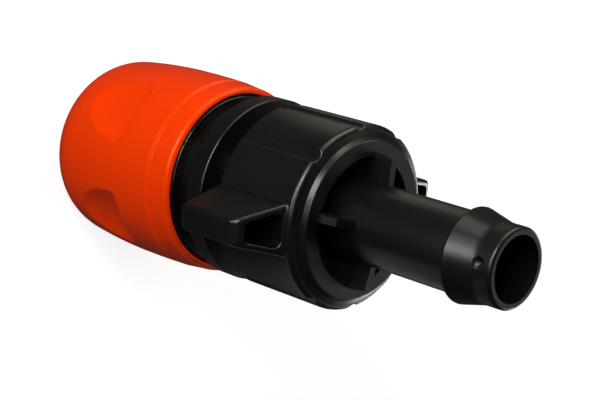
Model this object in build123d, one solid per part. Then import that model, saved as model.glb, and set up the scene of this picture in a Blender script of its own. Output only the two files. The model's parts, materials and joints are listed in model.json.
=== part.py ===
from build123d import *
import math
import os

# Garden hose quick connector, standing on its socket end, in millimetres
# It is drawn along X, from the plug socket's mouth at x = 0 to the hose tail, and stood up at the end
# Turns are counted from the drawing's top (+Z) towards -Y

# Clearances, and how far cutters run past what they cut and joined forms run into each other
run_gap = 0.1
slide_gap = 0.3
seat_gap = 0.05
past = 1.0
overlap = 0.5

# Plug socket and waterway
socket_mouth_radius = 8.6
socket_mouth_length = 6.5
socket_step = 0.2
mouth_chamfer = 0.4
plug_nose_radius = 7.0
plug_nose_length = 9.0
waterway_radius = 5.5
spigot_bore_radius = 8.1
cone_length = 1.5
nose_wall = 2.6

# Claw windows and locking claws
window_front_x = 7.0
window_length = 5.0
claw_count = 4
first_claw_turn = 45.0
claw_width = 5.7
claw_head_width = 8.0
claw_bite = 1.0
claw_lift = 1.0
claw_head_length = 3.0
claw_head_rise = 0.95
claw_tip_chamfer = 1.3

# Stop ring, seal and seal bush
stop_ring_height = 0.9
stop_ring_thickness = 0.95
stop_ring_groove_depth = 0.6
stop_ring_gap_angle = 24.0
seal_cord_radius = 0.9
seal_bush_length = 2.8
seal_bush_setback = 1.3

# Return spring
spring_length = 15.3
spring_wire_radius = 0.6
spring_turns = 4.5
spring_inner_gap = 1.3
spring_outer_gap = 0.6

# Guide ring, recess, flange and threaded spigot
guide_ring_thickness = 3.5
guide_step = 1.15
recess_length = 4.3
recess_depth = 1.95
flange_thickness = 3.7
flange_rise = 0.85
spigot_length = 15.0
thread_major_radius = 13.22
thread_pitch = 1.814
thread_depth_per_pitch = 0.64
edge_round = 0.35

# Locking collar
collar_travel = 4.0
collar_shoulder_thickness = 1.5
collar_wall = 1.8
collar_wide_x = 20.0
belly_radius = 115.0
belly_sweep = 6.8
nose_round = 9.5
nose_sweep = 43.2
lip_round = 2.5
lip_depth = 2.0
collar_step_fall = 0.17
groove_width = 1.0
groove_depth = 0.4
groove_slope = 0.28
groove_round = 0.2
rear_band_length = 4.0
rear_band_drop = 0.13
rim_fall = 0.3
rim_round = 1.0
rim_chamfer = 0.45

# Finger scallops in the collar
scallop_pair_turn = 79.5
scallop_half_spread = 35.75
scallop_setback = 0.5
scallop_length = 13.0
scallop_depth = 1.75
scallop_hollow_radius = 30.0
scallop_round = 0.9
scallop_edge_round = 1.0

# Hose tail
stem_radius = 6.75
tail_wall = 1.3
stem_length = 22.8
barb_height = 1.2
barb_length = 5.3
barb_crest_round = 0.4
barb_foot_round = 4.0
tip_length = 3.5
tip_step = 0.1
tip_round = 0.55
tail_flange_thickness = 2.5
tail_flange_inset = 0.25
tail_recess_depth = 1.7
tail_recess_round = 1.5
washer_thickness = 2.4
gate_dimple_radius = 1.25
gate_dimple_depth = 0.65
gate_dimple_setback = 1.0
gate_dimple_turn = 71.7

# Fins that the nut turns on
fin_count = 4
first_fin_turn = 73.5
fin_thickness = 1.3
fin_length = 4.2
fin_front_lean = 0.4
fin_front_drop = 0.1
fin_nib_height = 0.6
fin_nib_length = 0.8

# Wing nut
nut_wall = 2.43
nut_front_wall = 2.35
nut_mouth_radius = 10.8
nut_rear_setback = 3.5
nut_rear_chamfer = 0.5
nut_shoulder_length = 1.4
nut_shoulder_round = 1.0
nut_shoulder_width = 1.9
nut_shoulder_fall = 0.5
face_step_draft = 0.4
face_edge_round = 0.2
flute_turns = (36.0, 140.0, -2.0, 178.0, 216.0, 320.0)
flute_depth = 0.65
flute_width = 2.8
flute_edge_round = 0.25

# Wings of the nut
wing_turns = (84.9, 264.9)
wing_height = 7.9
wing_tip_setback = 0.6
wing_tip_length = 12.3
wing_root_setback = 0.2
wing_root_length = 16.1
wing_root_thickness = 8.5
wing_tip_thickness = 4.3
wing_corner_round = 2.2
wing_edge_round = 0.8
wing_root_round = 0.5
wing_tip_wall = 1.9
wing_side_wall = 1.1
pocket_setback = 2.5
pocket_floor_rise = 0.2
pocket_round = 1.1
pocket_edge_round = 0.25

# Places along the axis, worked out from the sizes above
body_front_x = -mouth_chamfer
window_rear_x = window_front_x + window_length
claw_head_rear_x = window_rear_x + slide_gap
claw_head_front_x = claw_head_rear_x - claw_head_length
cam_rear_x = claw_head_rear_x + seat_gap
cam_front_x = claw_head_front_x - collar_travel - slide_gap
stop_ring_x = claw_head_rear_x + slide_gap + run_gap
shoulder_x = stop_ring_x + stop_ring_thickness + seat_gap
shoulder_rear_x = shoulder_x + collar_shoulder_thickness
seal_bush_x = window_rear_x + seal_bush_setback
seal_x = seal_bush_x + seal_bush_length
seal_seat_x = seal_x + 2 * (seal_cord_radius + seat_gap)
plug_nose_end_x = seal_seat_x + plug_nose_length
guide_ring_x = shoulder_rear_x + spring_length
recess_x = guide_ring_x + guide_ring_thickness
flange_x = recess_x + recess_length
spigot_x = flange_x + flange_thickness
spigot_end_x = spigot_x + spigot_length
washer_x = spigot_end_x + seat_gap
tail_flange_x = washer_x + washer_thickness
tail_flange_front_x = tail_flange_x + tail_flange_thickness
nut_wall_x = tail_flange_front_x + run_gap
nut_front_x = nut_wall_x + nut_front_wall
nut_shoulder_x = nut_front_x - nut_shoulder_length
nut_rear_x = spigot_x + nut_rear_setback
fin_front_x = nut_front_x + fin_length
barb_x = nut_front_x + stem_length
barb_end_x = barb_x + barb_length
tail_end_x = barb_end_x + tip_length
collar_rear_x = recess_x
collar_step_x = collar_rear_x - rear_band_length
scallop_rear_x = collar_wide_x + scallop_setback
wing_tip_rear_x = nut_rear_x + wing_tip_setback
wing_tip_front_x = wing_tip_rear_x + wing_tip_length
wing_root_rear_x = nut_rear_x + wing_root_setback
wing_root_front_x = nut_rear_x + wing_root_length
pocket_rear_x = wing_tip_rear_x + pocket_setback

# Radii, worked out from the plug socket, the thread and the stem outwards
socket_radius = socket_mouth_radius - socket_step
nose_tube_radius = socket_mouth_radius + nose_wall
seal_bush_bore_radius = plug_nose_radius + slide_gap
stop_ring_radius = nose_tube_radius + stop_ring_height
claw_head_radius = nose_tube_radius + claw_head_rise
cam_rear_radius = claw_head_radius + slide_gap
cam_slope = claw_lift / collar_travel
spring_mean_radius = nose_tube_radius + spring_inner_gap + spring_wire_radius
spring_room_radius = spring_mean_radius + spring_wire_radius + spring_outer_gap
guide_bore_radius = spring_room_radius + guide_step
guide_ring_radius = guide_bore_radius - slide_gap
recess_radius = guide_ring_radius - recess_depth
flange_radius = guide_ring_radius + flange_rise
collar_wide_radius = guide_bore_radius + collar_wall
collar_step_radius = collar_wide_radius - collar_step_fall
rear_band_radius = collar_step_radius - rear_band_drop
rim_radius = rear_band_radius - rim_fall
thread_depth = thread_depth_per_pitch * thread_pitch
thread_root_radius = thread_major_radius - thread_depth
nut_bore_radius = thread_major_radius + slide_gap / 2
nut_land_radius = nut_bore_radius + nut_wall
flute_round = (flute_width ** 2 / 4 + flute_depth ** 2) / flute_depth / 2
face_step_radius = nut_land_radius - nut_shoulder_width
wing_tip_radius = nut_land_radius + wing_height
pocket_floor_radius = nut_land_radius + pocket_floor_rise
pocket_tip_radius = wing_tip_radius - wing_tip_wall
tail_bore_radius = stem_radius - tail_wall
tip_radius = stem_radius - tip_step
barb_radius = stem_radius + barb_height
tail_flange_radius = nut_bore_radius - tail_flange_inset
fin_radius = nut_mouth_radius - run_gap


def ring(*outline):
    """A ring turned about the axis from (x, radius) corners."""
    return revolve(make_face(Polyline(*outline, close=True)), Axis.X)


def tube(start, end, outer, inner):
    """A plain tube along the axis."""
    return ring((start, inner), (end, inner), (end, outer), (start, outer))


def rod(start, end, radius):
    """A solid cylinder along the axis."""
    return ring((start, 0), (end, 0), (end, radius), (start, radius))


def turned(shape, turn):
    """Turns a shape made at the top of the axis towards -Y."""
    return shape.rotate(Axis.X, turn)


def spoke(start, end, low, high, width):
    """An upright bar at the top of the axis, between two radii."""
    bar = Box(end - start, width, high - low)
    return Pos((start + end) / 2, 0, (low + high) / 2) * bar


def along_axis(outline, start, end):
    """An outline drawn across the top of the axis, drawn out along it."""
    return extrude(Plane((start, 0, 0), x_dir=(0, 1, 0), z_dir=(1, 0, 0)) * outline, end - start)


def cam_radius(x):
    """The collar's closing cone, wider towards the mouth by the claws' lift."""
    return cam_rear_radius + cam_slope * (cam_rear_x - x)


def plug_and_water_bore():
    """Everything that is hollow along the middle of the connector body."""
    lead = past - body_front_x
    return ring(
        (-lead, 0), (-lead, socket_mouth_radius + lead), (0, socket_mouth_radius),
        (socket_mouth_length, socket_mouth_radius), (socket_mouth_length, socket_radius),
        (seal_seat_x, socket_radius), (seal_seat_x, plug_nose_radius),
        (plug_nose_end_x, plug_nose_radius),
        (plug_nose_end_x + cone_length, waterway_radius),
        (flange_x, waterway_radius),
        (flange_x + 2 * cone_length, spigot_bore_radius),
        (spigot_end_x + past, spigot_bore_radius), (spigot_end_x + past, 0))


def connector_body():
    """Socket, claw windows, guide ring, flange and threaded spigot in one moulding."""
    groove_radius = nose_tube_radius - stop_ring_groove_depth
    groove_x = stop_ring_x - seat_gap
    solid = rod(body_front_x, guide_ring_x, nose_tube_radius)
    guide_ring = rod(guide_ring_x, recess_x, guide_ring_radius)
    solid += fillet(guide_ring.edges().filter_by(GeomType.CIRCLE).sort_by(Axis.X)[-1], edge_round)
    solid += rod(recess_x, flange_x, recess_radius)
    flange = rod(flange_x, spigot_x, flange_radius)
    solid += fillet(flange.edges().filter_by(GeomType.CIRCLE), edge_round)
    relief_x = spigot_x + thread_pitch
    solid += ring(
        (spigot_x, 0), (spigot_x, thread_root_radius - edge_round),
        (relief_x, thread_root_radius - edge_round), (relief_x, thread_root_radius),
        (spigot_end_x - thread_depth, thread_root_radius),
        (spigot_end_x, thread_root_radius - thread_depth / 2), (spigot_end_x, 0))
    solid -= plug_and_water_bore()
    solid -= tube(groove_x, shoulder_x, nose_tube_radius + past, groove_radius)
    window = spoke(window_front_x, window_rear_x, waterway_radius, nose_tube_radius + past,
                   claw_width + 2 * run_gap)
    for number in range(claw_count):
        solid -= turned(window, first_claw_turn + number * 360 / claw_count)
    return solid


def claw(turn):
    """One locking claw: a tip through its window and a wedge head outside it."""
    front = window_front_x + run_gap
    rear = window_rear_x - run_gap
    tip = socket_mouth_radius - claw_bite
    top = nose_tube_radius + claw_head_rise / 2
    stem = ring(
        (front, tip + claw_tip_chamfer), (front + claw_tip_chamfer, tip),
        (rear, tip), (rear, top), (front, top))
    stem &= spoke(front, rear, 0, top + past, claw_width)
    underside = nose_tube_radius + run_gap
    head = ring(
        (claw_head_front_x, underside),
        (claw_head_front_x, cam_radius(claw_head_front_x) - slide_gap),
        (claw_head_rear_x, cam_radius(claw_head_rear_x) - slide_gap),
        (claw_head_rear_x, underside))
    head &= spoke(claw_head_front_x, claw_head_rear_x, 0, 2 * underside, claw_head_width)
    return turned(stem + head, turn)


def collar_outline():
    """Half section of the collar, from the widest place round the nose and back inside."""
    belly = JernArc((collar_wide_x, collar_wide_radius), (-1, 0), belly_radius, belly_sweep)
    nose = JernArc(belly @ 1, belly % 1, nose_round, nose_sweep)
    lip = JernArc(nose @ 1, nose % 1, lip_round, 90 - belly_sweep - nose_sweep)
    lip_radius = nose_tube_radius + slide_gap
    front = lip @ 1
    lip_x = front.X + lip_depth
    cam_top = cam_radius(cam_front_x)
    guide_bore_x = guide_ring_x - collar_travel - slide_gap
    room_end_x = guide_bore_x - guide_step
    groove_x = collar_step_x - groove_width
    groove_radius = collar_step_radius - groove_depth
    inside = Polyline(
        (front.X, front.Y), (front.X, lip_radius), (lip_x, lip_radius),
        (lip_x + cam_top - lip_radius, cam_top), (cam_front_x, cam_top),
        (cam_rear_x, cam_rear_radius), (shoulder_x, cam_rear_radius),
        (shoulder_x, lip_radius), (shoulder_rear_x, lip_radius),
        (shoulder_rear_x, spring_room_radius), (room_end_x, spring_room_radius),
        (guide_bore_x, guide_bore_radius),
        (collar_rear_x - rim_chamfer, guide_bore_radius),
        (collar_rear_x, guide_bore_radius + rim_chamfer),
        (collar_rear_x, rim_radius - rim_round))
    rim = JernArc(inside @ 1, (0, 1), rim_round, 90)
    band = Polyline(
        rim @ 1, (collar_step_x, rear_band_radius),
        (collar_step_x - groove_slope, groove_radius),
        (groove_x + groove_slope, groove_radius), (groove_x, collar_step_radius))
    back = TangentArc((collar_wide_x, collar_wide_radius), (groove_x, collar_step_radius),
                      tangent=(1, 0))
    outline = make_face(belly + nose + lip + inside + rim + band + back)
    at_groove = outline.vertices().filter_by_position(
        Axis.X, groove_x - seat_gap, collar_step_x + seat_gap)
    return fillet(at_groove.filter_by(lambda v: v.Y > groove_radius - seat_gap), groove_round)


def scallop(turn):
    """The disc that hollows one finger scallop, deepest at its crisp rear wall."""
    floor = collar_wide_radius - scallop_depth
    middle = floor + scallop_hollow_radius
    wall_top = (scallop_rear_x, collar_wide_radius + past)
    wall_foot = (scallop_rear_x, floor + scallop_round)
    corner = JernArc(wall_foot, (0, -1), scallop_round, -90)
    run = scallop_length - scallop_round
    rise = collar_wide_radius - floor
    run_radius = (run * run + rise * rise) / (2 * rise)
    slope = JernArc(corner @ 1, (-1, 0), run_radius, -math.degrees(math.asin(run / run_radius)))
    front = slope @ 1
    closing = Polyline(front, (front.X, middle), (scallop_rear_x, middle), wall_top, wall_foot)
    outline = make_face(corner + slope + closing)
    across = Axis((0, middle, 0), (1, 0, 0))
    return turned(revolve(outline, across).rotate(Axis.X, 90), turn)


def locking_collar():
    """The sliding collar with its two pairs of finger scallops."""
    solid = revolve(collar_outline(), Axis.X)
    for side in (0, 180):
        for step in (-scallop_half_spread, scallop_half_spread):
            solid -= scallop(scallop_pair_turn + side + step)
    return fillet(solid.edges().filter_by(GeomType.BSPLINE), scallop_edge_round)


def return_spring():
    """The open coil between the collar's shoulder and the guide ring."""
    start = shoulder_rear_x + spring_wire_radius + seat_gap
    end = guide_ring_x - spring_wire_radius - seat_gap
    pitch = (end - start) / spring_turns
    path = Helix(pitch, end - start, spring_mean_radius, center=(start, 0, 0), direction=(1, 0, 0))
    wire = Plane(path @ 0, z_dir=path % 0) * Circle(spring_wire_radius)
    return sweep(wire, path, is_frenet=True)


def stop_ring():
    """The split ring in the nose tube's groove that the collar stops on."""
    rear = stop_ring_x + stop_ring_thickness
    inner = nose_tube_radius - stop_ring_groove_depth + seat_gap
    split = 2 * inner * math.sin(math.radians(stop_ring_gap_angle / 2))
    return tube(stop_ring_x, rear, stop_ring_radius, inner) - spoke(
        stop_ring_x - past, rear + past, 0, stop_ring_radius + past, split)


def plug_seal():
    """The rubber ring that closes on the plug's nose."""
    middle = seal_x + seat_gap + seal_cord_radius
    ring_radius = socket_radius - seat_gap - seal_cord_radius
    return Pos(middle, 0, 0) * Rot(0, 90, 0) * Torus(ring_radius, seal_cord_radius)


def seal_bush():
    """The bush that is pushed in to keep the seal in its seat."""
    outer = socket_radius - seat_gap
    lead = (outer - seal_bush_bore_radius) / 2
    return ring(
        (seal_bush_x, seal_bush_bore_radius + lead), (seal_bush_x + lead, seal_bush_bore_radius),
        (seal_x, seal_bush_bore_radius), (seal_x, outer), (seal_bush_x, outer))


def fin(turn):
    """One radial fin: the nut turns on its edge and its nib keeps the nut on."""
    foot = tail_flange_front_x - tail_recess_depth - overlap
    sunk = stem_radius - overlap
    nib_x = nut_front_x + run_gap
    nib_radius = nut_mouth_radius + fin_nib_height
    outline = make_face(Polyline(
        (foot, sunk), (foot, fin_radius), (nib_x, fin_radius), (nib_x, nib_radius),
        (nib_x + fin_nib_length, nib_radius),
        (fin_front_x - fin_front_lean, nut_mouth_radius + fin_front_drop),
        (fin_front_x, sunk), close=True))
    plate = extrude(outline, fin_thickness / 2, both=True)
    return turned(plate.rotate(Axis.X, 90), turn)


def soft_barb(outline):
    """Rounds the barb's crest and the foot of its slope in the tail's half section."""
    crest = outline.vertices().filter_by_position(Axis.X, barb_x - seat_gap, barb_x + seat_gap)
    outline = fillet(crest.sort_by(Axis.Y)[-1], barb_crest_round)
    foot = outline.vertices().filter_by_position(
        Axis.X, barb_end_x - seat_gap, barb_end_x + seat_gap)
    return fillet(foot, barb_foot_round)


def hose_tail():
    """Flange, fins, stem and barb of the hose tail, with the water bore through it."""
    recess_floor_x = tail_flange_front_x - tail_recess_depth
    recess_foot = JernArc(
        (recess_floor_x, stem_radius + tail_recess_round), (0, -1), tail_recess_round, 90)
    body = Polyline(
        recess_foot @ 1, (barb_x, stem_radius), (barb_x, barb_radius),
        (barb_end_x, tip_radius), (tail_end_x - tip_round, tip_radius))
    lip = JernArc(body @ 1, (1, 0), tip_round, -90)
    rest = Polyline(
        lip @ 1, (tail_end_x, tail_bore_radius), (tail_flange_x, tail_bore_radius),
        (tail_flange_x, tail_flange_radius), (tail_flange_front_x, tail_flange_radius),
        (tail_flange_front_x, fin_radius), (recess_floor_x, fin_radius), recess_foot @ 0)
    solid = revolve(soft_barb(make_face(recess_foot + body + lip + rest)), Axis.X)
    for number in range(fin_count):
        solid += fin(first_fin_turn + number * 360 / fin_count)
    dimple_height = tip_radius + gate_dimple_radius - gate_dimple_depth
    dimple = Pos(barb_end_x + gate_dimple_setback, 0, dimple_height) * Sphere(gate_dimple_radius)
    return solid - turned(dimple, gate_dimple_turn)


def tail_washer():
    """The flat rubber washer between the spigot and the hose tail's flange."""
    return tube(washer_x, tail_flange_x - seat_gap, tail_flange_radius, spigot_bore_radius)


def nut_shell():
    """The turned form of the nut, with its thread bore and its stepped front face."""
    face_radius = face_step_radius - face_step_draft
    side = Polyline(
        (nut_rear_x, nut_bore_radius + nut_rear_chamfer),
        (nut_rear_x, nut_land_radius - nut_rear_chamfer),
        (nut_rear_x + nut_rear_chamfer, nut_land_radius),
        (nut_shoulder_x - nut_shoulder_round, nut_land_radius))
    shoulder = JernArc(side @ 1, (1, 0), nut_shoulder_round, -90)
    step = Polyline(
        shoulder @ 1, (nut_shoulder_x + nut_shoulder_fall, face_step_radius),
        (nut_front_x - face_edge_round, face_radius))
    face_edge = TangentArc(step @ 1, (nut_front_x, face_radius - face_edge_round), tangent=(1, 0))
    front = Polyline(
        face_edge @ 1, (nut_front_x, nut_mouth_radius), (nut_wall_x, nut_mouth_radius),
        (nut_wall_x, nut_bore_radius), (nut_rear_x + nut_rear_chamfer, nut_bore_radius),
        side @ 0)
    return revolve(make_face(side + shoulder + step + face_edge + front), Axis.X)


def flute(turn):
    """One of the shallow round grooves between the nut's lands."""
    outline = Pos(0, nut_land_radius - flute_depth + flute_round) * Circle(flute_round)
    return turned(along_axis(outline, nut_rear_x - past, nut_front_x + past), turn)


def wing_section(tip, root, wall):
    """A wing's section across the axis, thinner towards the tip, less a wall on both sides."""
    taper = (wing_root_thickness - wing_tip_thickness) / wing_height / 2
    half_tip = wing_tip_thickness / 2 + taper * (wing_tip_radius - tip) - wall
    half_root = wing_tip_thickness / 2 + taper * (wing_tip_radius - root) - wall
    return make_face(Polyline(
        (-half_root, root), (half_root, root), (half_tip, tip), (-half_tip, tip), close=True))


def wing_block():
    """A wing before it is hollowed, with its edges rounded down to the nut."""
    root = nut_bore_radius + overlap
    front_lean = (wing_root_front_x - wing_tip_front_x) / wing_height
    rear_lean = (wing_root_rear_x - wing_tip_rear_x) / wing_height
    sunk = wing_tip_radius - root
    side_view = make_face(Polyline(
        (wing_tip_rear_x, wing_tip_radius), (wing_tip_front_x, wing_tip_radius),
        (wing_tip_front_x + front_lean * sunk, root), (wing_tip_rear_x + rear_lean * sunk, root),
        close=True))
    front_corner = side_view.vertices().sort_by(Axis.Y)[-2:].sort_by(Axis.X)[-1]
    side_view = fillet(front_corner, wing_corner_round)
    plate = extrude(side_view, wing_root_thickness, both=True).rotate(Axis.X, 90)
    section = wing_section(wing_tip_radius, root, 0)
    block = plate & along_axis(section, wing_tip_rear_x - past, wing_root_front_x + 2 * past)
    crosswise = block.edges().filter_by(Axis.Y)
    edges = block.edges() - crosswise + crosswise.sort_by(Axis.X)[:1]
    return fillet(edges.filter_by(lambda e: e.center().Z > root + seat_gap), wing_edge_round)


def wing(turn):
    """One hollow wing, open towards the hose tail."""
    section = wing_section(pocket_tip_radius, pocket_floor_radius, wing_side_wall)
    pocket = along_axis(
        fillet(section.vertices(), pocket_round), pocket_rear_x, nut_front_x + past)
    hollowed = wing_block() - pocket
    front = hollowed.faces().filter_by(lambda f: len(f.inner_wires()) > 0)[0]
    hollowed = fillet(front.inner_wires()[0].edges(), pocket_edge_round)
    return turned(hollowed, turn)


def at_wing_root(edge):
    """Tells the edges where a wing leaves the nut's land from the flutes' edges."""
    middle = edge @ 0.5
    turn = math.degrees(math.atan2(-middle.Y, middle.Z)) % 360
    reach = math.degrees(wing_root_thickness / nut_land_radius)
    on_land = abs(math.hypot(middle.Y, middle.Z) - nut_land_radius) < seat_gap / 2
    return on_land and any(abs(turn - wing_turn) < reach for wing_turn in wing_turns)


def wing_nut():
    """The fluted nut with its two wings."""
    solid = nut_shell()
    for turn in flute_turns:
        solid -= flute(turn)
    lands = solid.edges().filter_by(GeomType.LINE).filter_by(
        lambda e: abs(math.hypot(e.center().Y, e.center().Z) - nut_land_radius) < seat_gap / 2)
    solid = fillet(lands, flute_edge_round)
    for turn in wing_turns:
        solid += wing(turn)
    roots = [e for e in solid.edges() if e.geom_type != GeomType.CIRCLE and at_wing_root(e)]
    return fillet(roots, wing_root_round)


nodes = {
    "locking_collar": locking_collar(),
    "connector_body": connector_body(),
    "return_spring": return_spring(),
    "stop_ring": stop_ring(),
    "plug_seal": plug_seal(),
    "seal_bush": seal_bush(),
    "hose_tail": hose_tail(),
    "tail_washer": tail_washer(),
    "wing_nut": wing_nut(),
}
for number in range(claw_count):
    nodes[f"locking_claw_{number + 1}"] = claw(first_claw_turn + number * 360 / claw_count)

os.makedirs("parts", exist_ok=True)
stood = Pos(0, 0, -body_front_x) * Rot(0, -90, 0)
for name, shape in nodes.items():
    export_step(stood * shape, f"parts/{name}.step")
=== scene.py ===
import json
import math

import bmesh
import bpy
from mathutils import Matrix, Vector


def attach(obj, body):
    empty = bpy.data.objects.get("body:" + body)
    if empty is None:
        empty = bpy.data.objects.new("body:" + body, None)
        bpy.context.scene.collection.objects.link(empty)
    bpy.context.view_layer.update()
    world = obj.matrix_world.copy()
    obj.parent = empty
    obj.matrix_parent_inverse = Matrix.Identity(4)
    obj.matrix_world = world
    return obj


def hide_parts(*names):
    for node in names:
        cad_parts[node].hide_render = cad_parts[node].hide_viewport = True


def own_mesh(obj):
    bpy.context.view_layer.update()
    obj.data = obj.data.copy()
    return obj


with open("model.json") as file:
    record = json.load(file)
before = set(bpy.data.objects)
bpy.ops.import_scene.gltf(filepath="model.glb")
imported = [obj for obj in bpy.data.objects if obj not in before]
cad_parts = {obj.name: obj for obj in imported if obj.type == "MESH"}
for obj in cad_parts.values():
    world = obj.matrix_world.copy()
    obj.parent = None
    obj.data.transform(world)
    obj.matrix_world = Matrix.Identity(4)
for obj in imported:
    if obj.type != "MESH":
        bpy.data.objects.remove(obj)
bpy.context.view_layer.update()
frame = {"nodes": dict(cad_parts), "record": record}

MM = 0.001

# Places along the axis and radii shared with the solids, in mm
MOUTH_CHAMFER = 0.4
SHOULDER_X = 15.2
GUIDE_RING_X = 30.5
SPIGOT_ROOT = 12.06
NUT_ROOT = 13.37

# Threads, in mm
THREAD_PITCH = 1.814
SPIGOT_THREAD_START, SPIGOT_THREAD_END = 44.6, 55.9
NUT_THREAD_START, NUT_THREAD_END = 46.9, 56.0
SPIGOT_CREST = 13.15
NUT_CREST = 12.25
HALF_FOOT = 0.46 * THREAD_PITCH
HALF_CREST = 0.09 * THREAD_PITCH

# Shares of a ridge's height that are sunk in the wall and left at its faded ends
SUNK_SHARE = 0.06
END_SHARE = 0.02
FADE_TURNS = 0.6

# Return spring, in mm
SPRING_MEAN = 13.1
WIRE_RADIUS = 0.6
GROUND_OFF = 0.25

# Depth of the moulded grain, in mm
GRAIN_DEPTH = 0.05

# How strongly the world lights the object
WORLD_LIGHT = 0.03

# Shares of the white background and of the pale paper that mirroring rays see
MIRRORED_WHITE = 0.02
MIRRORED_PAPER = 0.04

# The floor's paper as it throws light on the object and as it is looked at, with its glow
DARK_PAPER = (0.04, 0.04, 0.04, 1)
PALE_PAPER = (0.60, 0.60, 0.60, 1)
PAPER_GLOW = 0.72

# Half the floor's width in m, and how far it lies under the part in mm
FLOOR_REACH = 3.0
FLOOR_DROP = 0.01

# Soft lights: name, place in mm, width and height in m, watts and colour. They all face
# this place on the axis, in mm
LIGHTS_AIM_X = 48
SOFTBOXES = (
    ("key_softbox", (170, -270, 280), (0.17, 0.2), 1.0, (1.0, 0.98, 0.95)),
    ("glint_softbox", (270, -240, 290), (0.07, 0.07), 0.3, (1.0, 0.98, 0.95)),
    ("top_softbox", (10, 0, 330), (0.2, 0.16), 0.25, (1.0, 0.96, 0.86)),
    ("back_softbox", (150, 110, 220), (0.22, 0.16), 0.36, (1.0, 0.95, 0.80)),
    ("front_softbox", (330, -400, 130), (0.16, 0.2), 0.3, (0.80, 0.90, 1.0)),
    ("left_softbox", (30, -300, 150), (0.12, 0.08), 0.35, (1.0, 0.98, 0.96)),
    ("top_card", (21, 49, 49), (0.05, 0.044), 0.0028, (1.0, 0.95, 0.80)),
    ("low_card", (27, -17, -63), (0.11, 0.022), 0.0025, (1.0, 0.98, 0.96)),
    ("right_softbox", (330, 300, -60), (0.3, 0.3), 0.06, (0.95, 0.97, 1.0)),
    ("far_softbox", (60, 340, -190), (0.3, 0.3), 1.1, (1.0, 1.0, 1.0)),
)

# Camera solved from the circles round the axis, with its place and lens in mm
CAMERA_PLACE = (236.386, -187.277, 89.239)
CAMERA_VIEW = (-0.66903, 0.67105, -0.31953)
CAMERA_RIGHT = (0.70817, 0.70604, 0.0)
FOCAL_LENGTH = 98.41
SENSOR_WIDTH = 36.0

# The nearest that the camera sees, in m
CLIP_START = 0.01


def stood(x, y, z):
    """Stands up a place given in mm with the connector lying along X, as in the picture."""
    return Vector((-z, y, x + MOUTH_CHAMFER)) * MM


def stood_direction(x, y, z):
    """Stands up a direction given with the connector lying along X."""
    return Vector((-z, y, x)).normalized()


def put(name, data):
    """Puts an object with this data in the scene."""
    made = bpy.data.objects.new(name, data)
    bpy.context.scene.collection.objects.link(made)
    return made


# Shader helpers
def new_material(name):
    """A material with nodes, and its node tree."""
    material = bpy.data.materials.new(name)
    material.use_nodes = True
    return material, material.node_tree


def set_inputs(node, **values):
    """Sets a node's inputs by name, with _ where the name has a space."""
    for name, value in values.items():
        node.inputs[name.replace("_", " ")].default_value = value


def combine(tree, operation, *sources):
    """A Math node over numbers and other nodes' outputs."""
    node = tree.nodes.new("ShaderNodeMath")
    node.operation = operation
    for socket, source in zip(node.inputs, sources):
        if isinstance(source, float):
            socket.default_value = source
        else:
            tree.links.new(source, socket)
    return node.outputs["Value"]


def noise(tree, scale, detail, roughness):
    """Noise in the object's own space, which is the same for every piece."""
    place = tree.nodes.new("ShaderNodeTexCoord")
    texture = tree.nodes.new("ShaderNodeTexNoise")
    set_inputs(texture, Scale=scale, Detail=detail, Roughness=roughness)
    tree.links.new(place.outputs["Object"], texture.inputs["Vector"])
    return texture.outputs["Fac"]


def remap(tree, source, low, high, to_low, to_high):
    """Maps a value's range smoothly onto another, and holds it there beyond its ends."""
    node = tree.nodes.new("ShaderNodeMapRange")
    node.interpolation_type = "SMOOTHSTEP"
    set_inputs(node, From_Min=low, From_Max=high, To_Min=to_low, To_Max=to_high)
    tree.links.new(source, node.inputs["Value"])
    return node.outputs["Result"]


def new_group(name, inputs, outputs):
    """An empty node group with float and colour inputs and typed outputs."""
    group = bpy.data.node_groups.new(name, "ShaderNodeTree")
    for label, value in inputs.items():
        kind = "NodeSocketColor" if isinstance(value, tuple) else "NodeSocketFloat"
        socket = group.interface.new_socket(label, in_out="INPUT", socket_type=kind)
        socket.default_value = value
    for label, kind in outputs.items():
        group.interface.new_socket(label, in_out="OUTPUT", socket_type=kind)
    return group, group.nodes.new("NodeGroupInput"), group.nodes.new("NodeGroupOutput")


def moulded_skin_group():
    """The faint unevenness of a moulded face: tone, roughness and a fine grain."""
    group, inp, out = new_group(
        "moulded_skin",
        {"Colour": (0.5, 0.5, 0.5, 1.0), "Tone Spread": 0.06, "Roughness": 0.4,
         "Roughness Spread": 0.06, "Grain": 0.15},
        {"Colour": "NodeSocketColor", "Roughness": "NodeSocketFloat",
         "Height": "NodeSocketFloat"})
    links = group.links
    flow = noise(group, scale=38.0, detail=4.0, roughness=0.5)
    grain = noise(group, scale=2600.0, detail=2.0, roughness=0.6)

    uneven = remap(group, flow, low=0.2, high=0.8, to_low=-1.0, to_high=1.0)
    spread = combine(group, "MULTIPLY_ADD", uneven, inp.outputs["Tone Spread"], 1.0)
    tint = group.nodes.new("ShaderNodeHueSaturation")
    links.new(spread, tint.inputs["Value"])
    links.new(inp.outputs["Colour"], tint.inputs["Color"])
    links.new(tint.outputs["Color"], out.inputs["Colour"])

    rough = combine(group, "MULTIPLY_ADD", uneven, inp.outputs["Roughness Spread"],
                    inp.outputs["Roughness"])
    links.new(rough, out.inputs["Roughness"])
    height = combine(group, "MULTIPLY", grain, inp.outputs["Grain"])
    links.new(height, out.inputs["Height"])
    return group


moulded_skin = moulded_skin_group()


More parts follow.
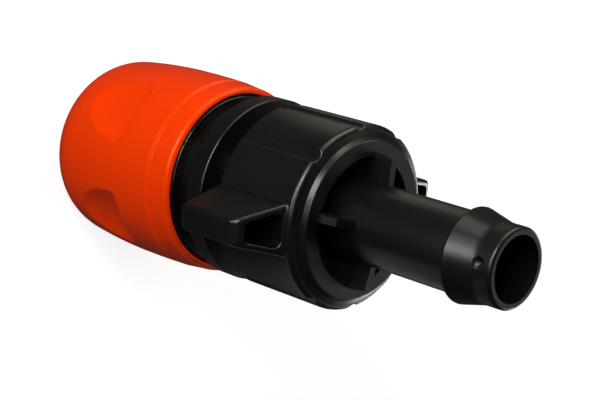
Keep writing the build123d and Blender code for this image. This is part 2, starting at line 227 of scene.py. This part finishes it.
def moulded_material(name, colour, roughness, grain, tone=0.05, bump=0.15, **sockets):
    """A moulded plastic or rubber: the shared skin feeding one Principled shader."""
    material, tree = new_material(name)
    shader = tree.nodes["Principled BSDF"]
    set_inputs(shader, **sockets)
    skin = tree.nodes.new("ShaderNodeGroup")
    skin.node_tree = moulded_skin
    set_inputs(skin, Colour=(*colour, 1.0), Roughness=roughness, Grain=grain,
               Tone_Spread=tone)
    relief = tree.nodes.new("ShaderNodeBump")
    set_inputs(relief, Strength=bump, Distance=GRAIN_DEPTH * MM)
    tree.links.new(skin.outputs["Colour"], shader.inputs["Base Color"])
    tree.links.new(skin.outputs["Roughness"], shader.inputs["Roughness"])
    tree.links.new(skin.outputs["Height"], relief.inputs["Height"])
    tree.links.new(relief.outputs["Normal"], shader.inputs["Normal"])
    return material


def drawn_wire_material():
    """Bright drawn steel with a fine unevenness in its polish."""
    material, tree = new_material("drawn_wire")
    shader = tree.nodes["Principled BSDF"]
    set_inputs(shader, Metallic=1.0, Base_Color=(0.55, 0.54, 0.52, 1.0))
    polish = noise(tree, scale=900.0, detail=4.0, roughness=0.6)
    rough = remap(tree, polish, low=0.3, high=0.7, to_low=0.22, to_high=0.4)
    tree.links.new(rough, shader.inputs["Roughness"])
    return material


FINISHES = {
    "orange_plastic": moulded_material(
        "orange_shell", (0.76, 0.036, 0.0003), roughness=0.32, grain=0.6, tone=0.03,
        Specular_IOR_Level=0.35, Specular_Tint=(1.0, 0.65, 0.25, 1.0)),
    "black_plastic": moulded_material(
        "black_moulding", (0.0025, 0.0025, 0.0023), roughness=0.30, grain=0.8, tone=0.15),
    "grey_plastic": moulded_material(
        "grey_acetal", (0.42, 0.42, 0.40), roughness=0.42, grain=0.4),
    "seal_rubber": moulded_material(
        "seal_rubber", (0.02, 0.02, 0.021), roughness=0.7, grain=1.0, bump=0.4),
    "spring_steel": drawn_wire_material(),
}
slot_of = {s["node"]: s["material_slot"] for s in frame["record"]["subparts"]}
for node_name, node in frame["nodes"].items():
    node.data.materials.clear()
    node.data.materials.append(FINISHES[slot_of[node_name]])


# Pieces
def piece(mesh, body, slot, *nodes):
    """Puts a finished mesh on its body, with its slot and the nodes that it stands for."""
    made = put(mesh.name, mesh)
    mesh.materials.append(FINISHES[slot])
    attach(made, body)
    if nodes:
        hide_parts(*nodes)
    return made


def on_axis(x, radius, turn):
    """A point by its place along the axis, radius and turn from the picture's top."""
    return stood(x, -radius * math.sin(turn), radius * math.cos(turn))


def swept_mesh(name, rings):
    """A closed skin over a row of rings with the same number of points."""
    mesh = bpy.data.meshes.new(name)
    work = bmesh.new()
    rows = [[work.verts.new(p) for p in ring] for ring in rings]
    count = len(rows[0])
    for one, two in zip(rows, rows[1:]):
        for i in range(count):
            j = (i + 1) % count
            work.faces.new((one[i], one[j], two[j], two[i]))
    work.faces.new(rows[0][::-1])
    work.faces.new(rows[-1])
    bmesh.ops.recalc_face_normals(work, faces=work.faces)
    work.to_mesh(mesh)
    work.free()
    return mesh


def thread_ridge(name, start, end, root, crest, phase, steps_per_turn=72):
    """A pipe thread's ridge: a tapered bar wound at the pitch, fading out at both ends."""
    turns = (end - start) / THREAD_PITCH
    sunk = root + (root - crest) * SUNK_SHARE
    rings = []
    for step in range(int(turns * steps_per_turn) + 1):
        turn = step / steps_per_turn
        grown = min(1.0, turn / FADE_TURNS, (turns - turn) / FADE_TURNS)
        grown = max(grown, END_SHARE)
        x = start + turn * THREAD_PITCH
        half_top = HALF_FOOT + (HALF_CREST - HALF_FOOT) * grown
        peak = root + (crest - root) * grown
        angle = phase + turn * math.tau
        rings.append([on_axis(x - HALF_FOOT, sunk, angle), on_axis(x - half_top, peak, angle),
                      on_axis(x + half_top, peak, angle), on_axis(x + HALF_FOOT, sunk, angle)])
    return swept_mesh(name, rings)


def coil_mesh(name, start, end, active_turns=3.5, steps_per_turn=48, sides=14):
    """A compression spring with a closed turn at each end, ground flat."""
    low, high = start + WIRE_RADIUS, end - WIRE_RADIUS
    active_length = high - low - 2 * WIRE_RADIUS
    total = active_turns + 2
    rings = []
    for step in range(int(total * steps_per_turn) + 1):
        turn = step / steps_per_turn
        if turn < 1:
            x = low + WIRE_RADIUS * turn
        elif turn > total - 1:
            x = high - WIRE_RADIUS * (total - turn)
        else:
            part = (turn - 1) / active_turns
            x = low + WIRE_RADIUS + active_length * part
        angle = turn * math.tau
        circle = []
        for side in range(sides):
            round_wire = side * math.tau / sides
            across = SPRING_MEAN + WIRE_RADIUS * math.cos(round_wire)
            along = x + WIRE_RADIUS * math.sin(round_wire)
            along = min(max(along, start + GROUND_OFF), end - GROUND_OFF)
            circle.append(on_axis(along, across, angle))
        rings.append(circle)
    mesh = swept_mesh(name, rings)
    for face in mesh.polygons:
        face.use_smooth = len(face.vertices) == 4
    return mesh


piece(thread_ridge("spigot_thread", SPIGOT_THREAD_START, SPIGOT_THREAD_END,
                   SPIGOT_ROOT, SPIGOT_CREST, phase=0.0),
      "connector_body", "black_plastic")

# The nut's ridge lies half a pitch from the spigot's, between its turns
nut_phase = math.tau * (NUT_THREAD_START - SPIGOT_THREAD_START) / THREAD_PITCH
piece(thread_ridge("nut_thread", NUT_THREAD_START + THREAD_PITCH / 2, NUT_THREAD_END,
                   NUT_ROOT, NUT_CREST, nut_phase),
      "wing_nut", "black_plastic")

spring = piece(coil_mesh("return_spring_coil", SHOULDER_X, GUIDE_RING_X),
               "connector_body", "spring_steel", "return_spring")
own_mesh(spring)


# Studio
def background_share(tree, mirrored):
    """The white background's share in a ray: all for camera and glass, some when mirrored."""
    path = tree.nodes.new("ShaderNodeLightPath")
    share = combine(tree, "MULTIPLY", path.outputs["Is Glossy Ray"], mirrored)
    for name in ("Is Camera Ray", "Is Transmission Ray"):
        share = combine(tree, "MAXIMUM", share, path.outputs[name])
    return share


def studio_world():
    """White where it is looked at, and a little even light on the object."""
    world = bpy.data.worlds.new("studio")
    bpy.context.scene.world = world
    world.use_nodes = True
    tree = world.node_tree
    tree.nodes.clear()
    out = tree.nodes.new("ShaderNodeOutputWorld")
    seen = tree.nodes.new("ShaderNodeBackground")
    set_inputs(seen, Color=(1, 1, 1, 1))
    lit = tree.nodes.new("ShaderNodeBackground")
    set_inputs(lit, Color=(1.0, 0.98, 0.96, 1), Strength=WORLD_LIGHT)
    mix = tree.nodes.new("ShaderNodeMixShader")
    tree.links.new(background_share(tree, MIRRORED_WHITE), mix.inputs["Fac"])
    tree.links.new(lit.outputs["Background"], mix.inputs[1])
    tree.links.new(seen.outputs["Background"], mix.inputs[2])
    tree.links.new(mix.outputs["Shader"], out.inputs["Surface"])


def floor_paper():
    """Paper that is white where it is looked at and throws little light on the object."""
    material, tree = new_material("floor_paper")
    tree.nodes.clear()
    out = tree.nodes.new("ShaderNodeOutputMaterial")
    paper = tree.nodes.new("ShaderNodeBsdfDiffuse")
    tone = tree.nodes.new("ShaderNodeMix")
    tone.data_type = "RGBA"
    set_inputs(tone, A=DARK_PAPER, B=PALE_PAPER)
    tree.links.new(background_share(tree, MIRRORED_PAPER), tone.inputs["Factor"])
    tree.links.new(tone.outputs["Result"], paper.inputs["Color"])
    glow = tree.nodes.new("ShaderNodeEmission")
    strength = combine(tree, "MULTIPLY", background_share(tree, MIRRORED_WHITE), PAPER_GLOW)
    tree.links.new(strength, glow.inputs["Strength"])
    both = tree.nodes.new("ShaderNodeAddShader")
    tree.links.new(paper.outputs["BSDF"], both.inputs[0])
    tree.links.new(glow.outputs["Emission"], both.inputs[1])
    tree.links.new(both.outputs["Shader"], out.inputs["Surface"])
    return material


def studio_floor():
    """A pale floor that keeps the object's soft shadow."""
    mesh = bpy.data.meshes.new("floor")
    work = bmesh.new()
    bmesh.ops.create_grid(work, x_segments=1, y_segments=1, size=FLOOR_REACH)
    work.to_mesh(mesh)
    work.free()
    floor = put("floor", mesh)
    floor.location.z = -FLOOR_DROP * MM
    mesh.materials.append(floor_paper())


def softbox(name, place, size, power, colour):
    """A rectangular soft light that faces the connector's middle."""
    light = bpy.data.lights.new(name, "AREA")
    light.shape = "RECTANGLE"
    light.size, light.size_y = size
    light.energy = power
    light.color = colour
    lamp = put(name, light)
    lamp.location = place
    view = stood(LIGHTS_AIM_X, 0, 0) - place
    lamp.rotation_euler = view.to_track_quat("-Z", "Y").to_euler()


def photo_camera():
    """The photo's camera, rolled so that its right hand is level."""
    lens = bpy.data.cameras.new("camera")
    lens.sensor_width = SENSOR_WIDTH
    lens.lens = FOCAL_LENGTH
    lens.clip_start = CLIP_START
    camera = put("camera", lens)
    back = -stood_direction(*CAMERA_VIEW)
    right = stood_direction(*CAMERA_RIGHT)
    up = back.cross(right)
    turn = Matrix((right, up, back)).transposed().to_4x4()
    camera.matrix_world = Matrix.Translation(stood(*CAMERA_PLACE)) @ turn
    bpy.context.scene.camera = camera


studio_world()
studio_floor()
for name, place, size, power, colour in SOFTBOXES:
    softbox(name, stood(*place), size, power, colour)
photo_camera()
bpy.context.scene.view_settings.view_transform = "Standard"
